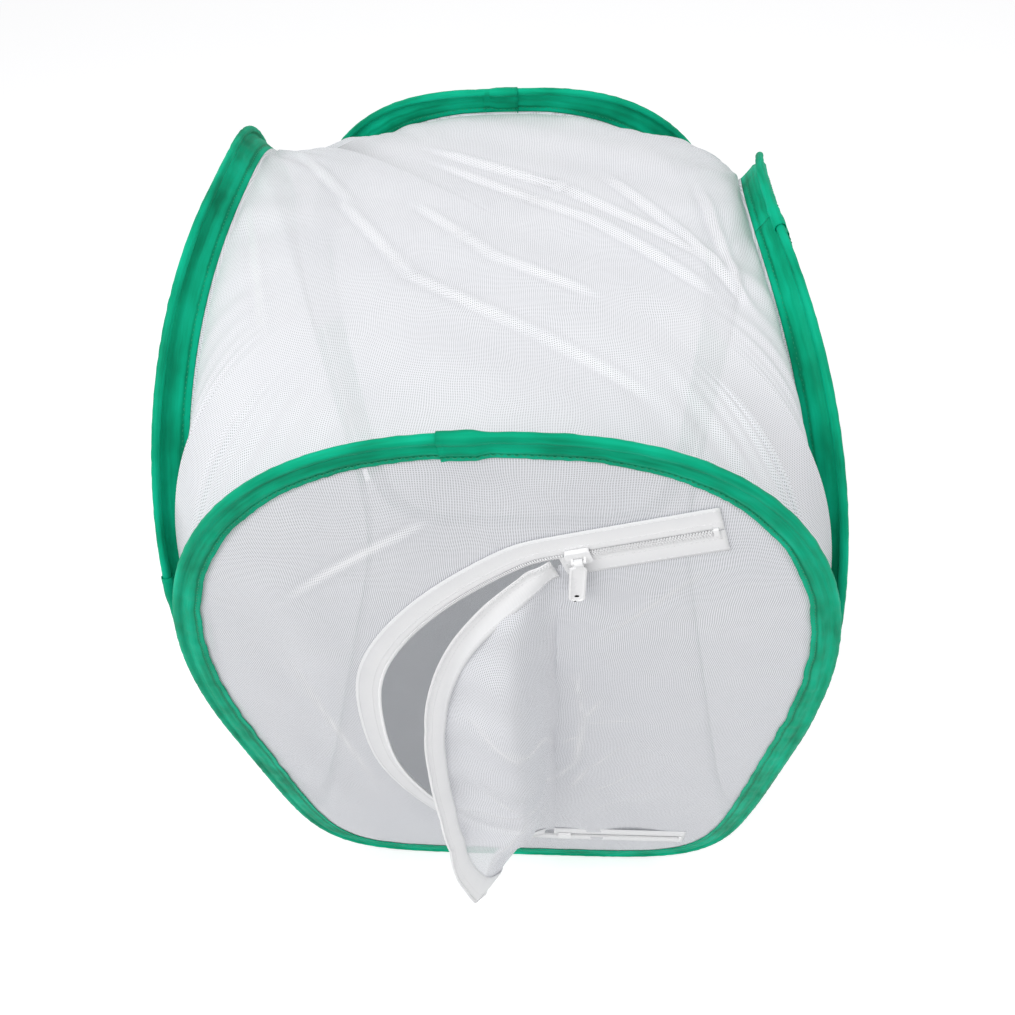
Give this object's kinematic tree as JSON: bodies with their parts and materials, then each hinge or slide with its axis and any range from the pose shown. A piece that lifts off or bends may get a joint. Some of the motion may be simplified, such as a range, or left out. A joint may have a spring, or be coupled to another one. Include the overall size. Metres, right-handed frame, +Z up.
{
  "type": "insect cage",
  "caption": "Pop-up insect cage of white netting on green-bound sprung wire hoops, with an open zipped D-shaped door in the front.",
  "frame": {"origin": "centre of the cage's base, on the floor", "axes": "+Z up, the front with the door faces -Y, +X to the right of someone who looks at the door"},
  "size_m": [0.3998, 0.4591, 0.62],
  "materials": {
    "green_satin": "satin woven binding",
    "white_netting": "fine open mesh",
    "green_thread": "matte thread",
    "white_tape": "woven zip tape",
    "white_coil": "nylon coil",
    "white_paint": "white enamel",
    "spring_steel": "drawn spring steel wire",
    "crimped_steel": "crimped steel tube"
  },
  "bodies": {
    "cage": {"front_wire": "spring_steel", "front_ferrule": "crimped_steel", "front_binding": "green_satin", "front_net": "white_netting", "right_wire": "spring_steel", "right_ferrule": "crimped_steel", "right_binding": "green_satin", "right_net": "white_netting", "back_wire": "spring_steel", "back_ferrule": "crimped_steel", "back_binding": "green_satin", "back_net": "white_netting", "left_wire": "spring_steel", "left_ferrule": "crimped_steel", "left_binding": "green_satin", "left_net": "white_netting", "top_net": "white_netting", "base_net": "white_netting", "front_left_seam": "green_thread", "front_right_seam": "green_thread", "back_right_seam": "green_thread", "back_left_seam": "green_thread", "frame_zip_tape": "white_tape", "upper_leaf_tape": "white_tape", "lower_leaf_tape": "white_tape", "frame_coil": "white_coil", "upper_chain": "white_coil", "lower_chain": "white_coil", "upper_stop": "white_paint", "lower_stop": "white_paint"},
    "door": {"door_leaf": "white_netting", "leaf_zip_tape": "white_tape", "leaf_coil": "white_coil"},
    "upper_slider_body": {"upper_slider": "white_paint"},
    "upper_pull_body": {"upper_pull": "white_paint"},
    "lower_slider_body": {"lower_slider": "white_paint"},
    "lower_pull_body": {"lower_pull": "white_paint"}
  },
  "joints": [
    {"name": "door_swing", "type": "hinge", "parent": "cage", "child": "door", "pos_m": [0.032, -0.1984, 0.3], "axis": [0, 0, 1], "range_deg": [-6, 85]},
    {"name": "upper_slider_slide", "type": "slide", "parent": "cage", "child": "upper_slider_body", "axis": [0.9527, 0, 0.304], "range_m": [0, 0.05], "deforming": ["upper_chain"]},
    {"name": "upper_pull_swing", "type": "hinge", "parent": "upper_slider_body", "child": "upper_pull_body", "pos_m": [0.0417, -0.20335, 0.5388], "axis": [-0.9527, 0, -0.304], "range_deg": [-4, 170]},
    {"name": "lower_slider_slide", "type": "slide", "parent": "cage", "child": "lower_slider_body", "axis": [1, 0, 0], "range_m": [0, 0.092], "deforming": ["lower_chain"]},
    {"name": "lower_pull_swing", "type": "hinge", "parent": "lower_slider_body", "child": "lower_pull_body", "pos_m": [0.0422, -0.1948, 0.075], "axis": [1, 0, 0], "range_deg": [-1, 170]}
  ]
}
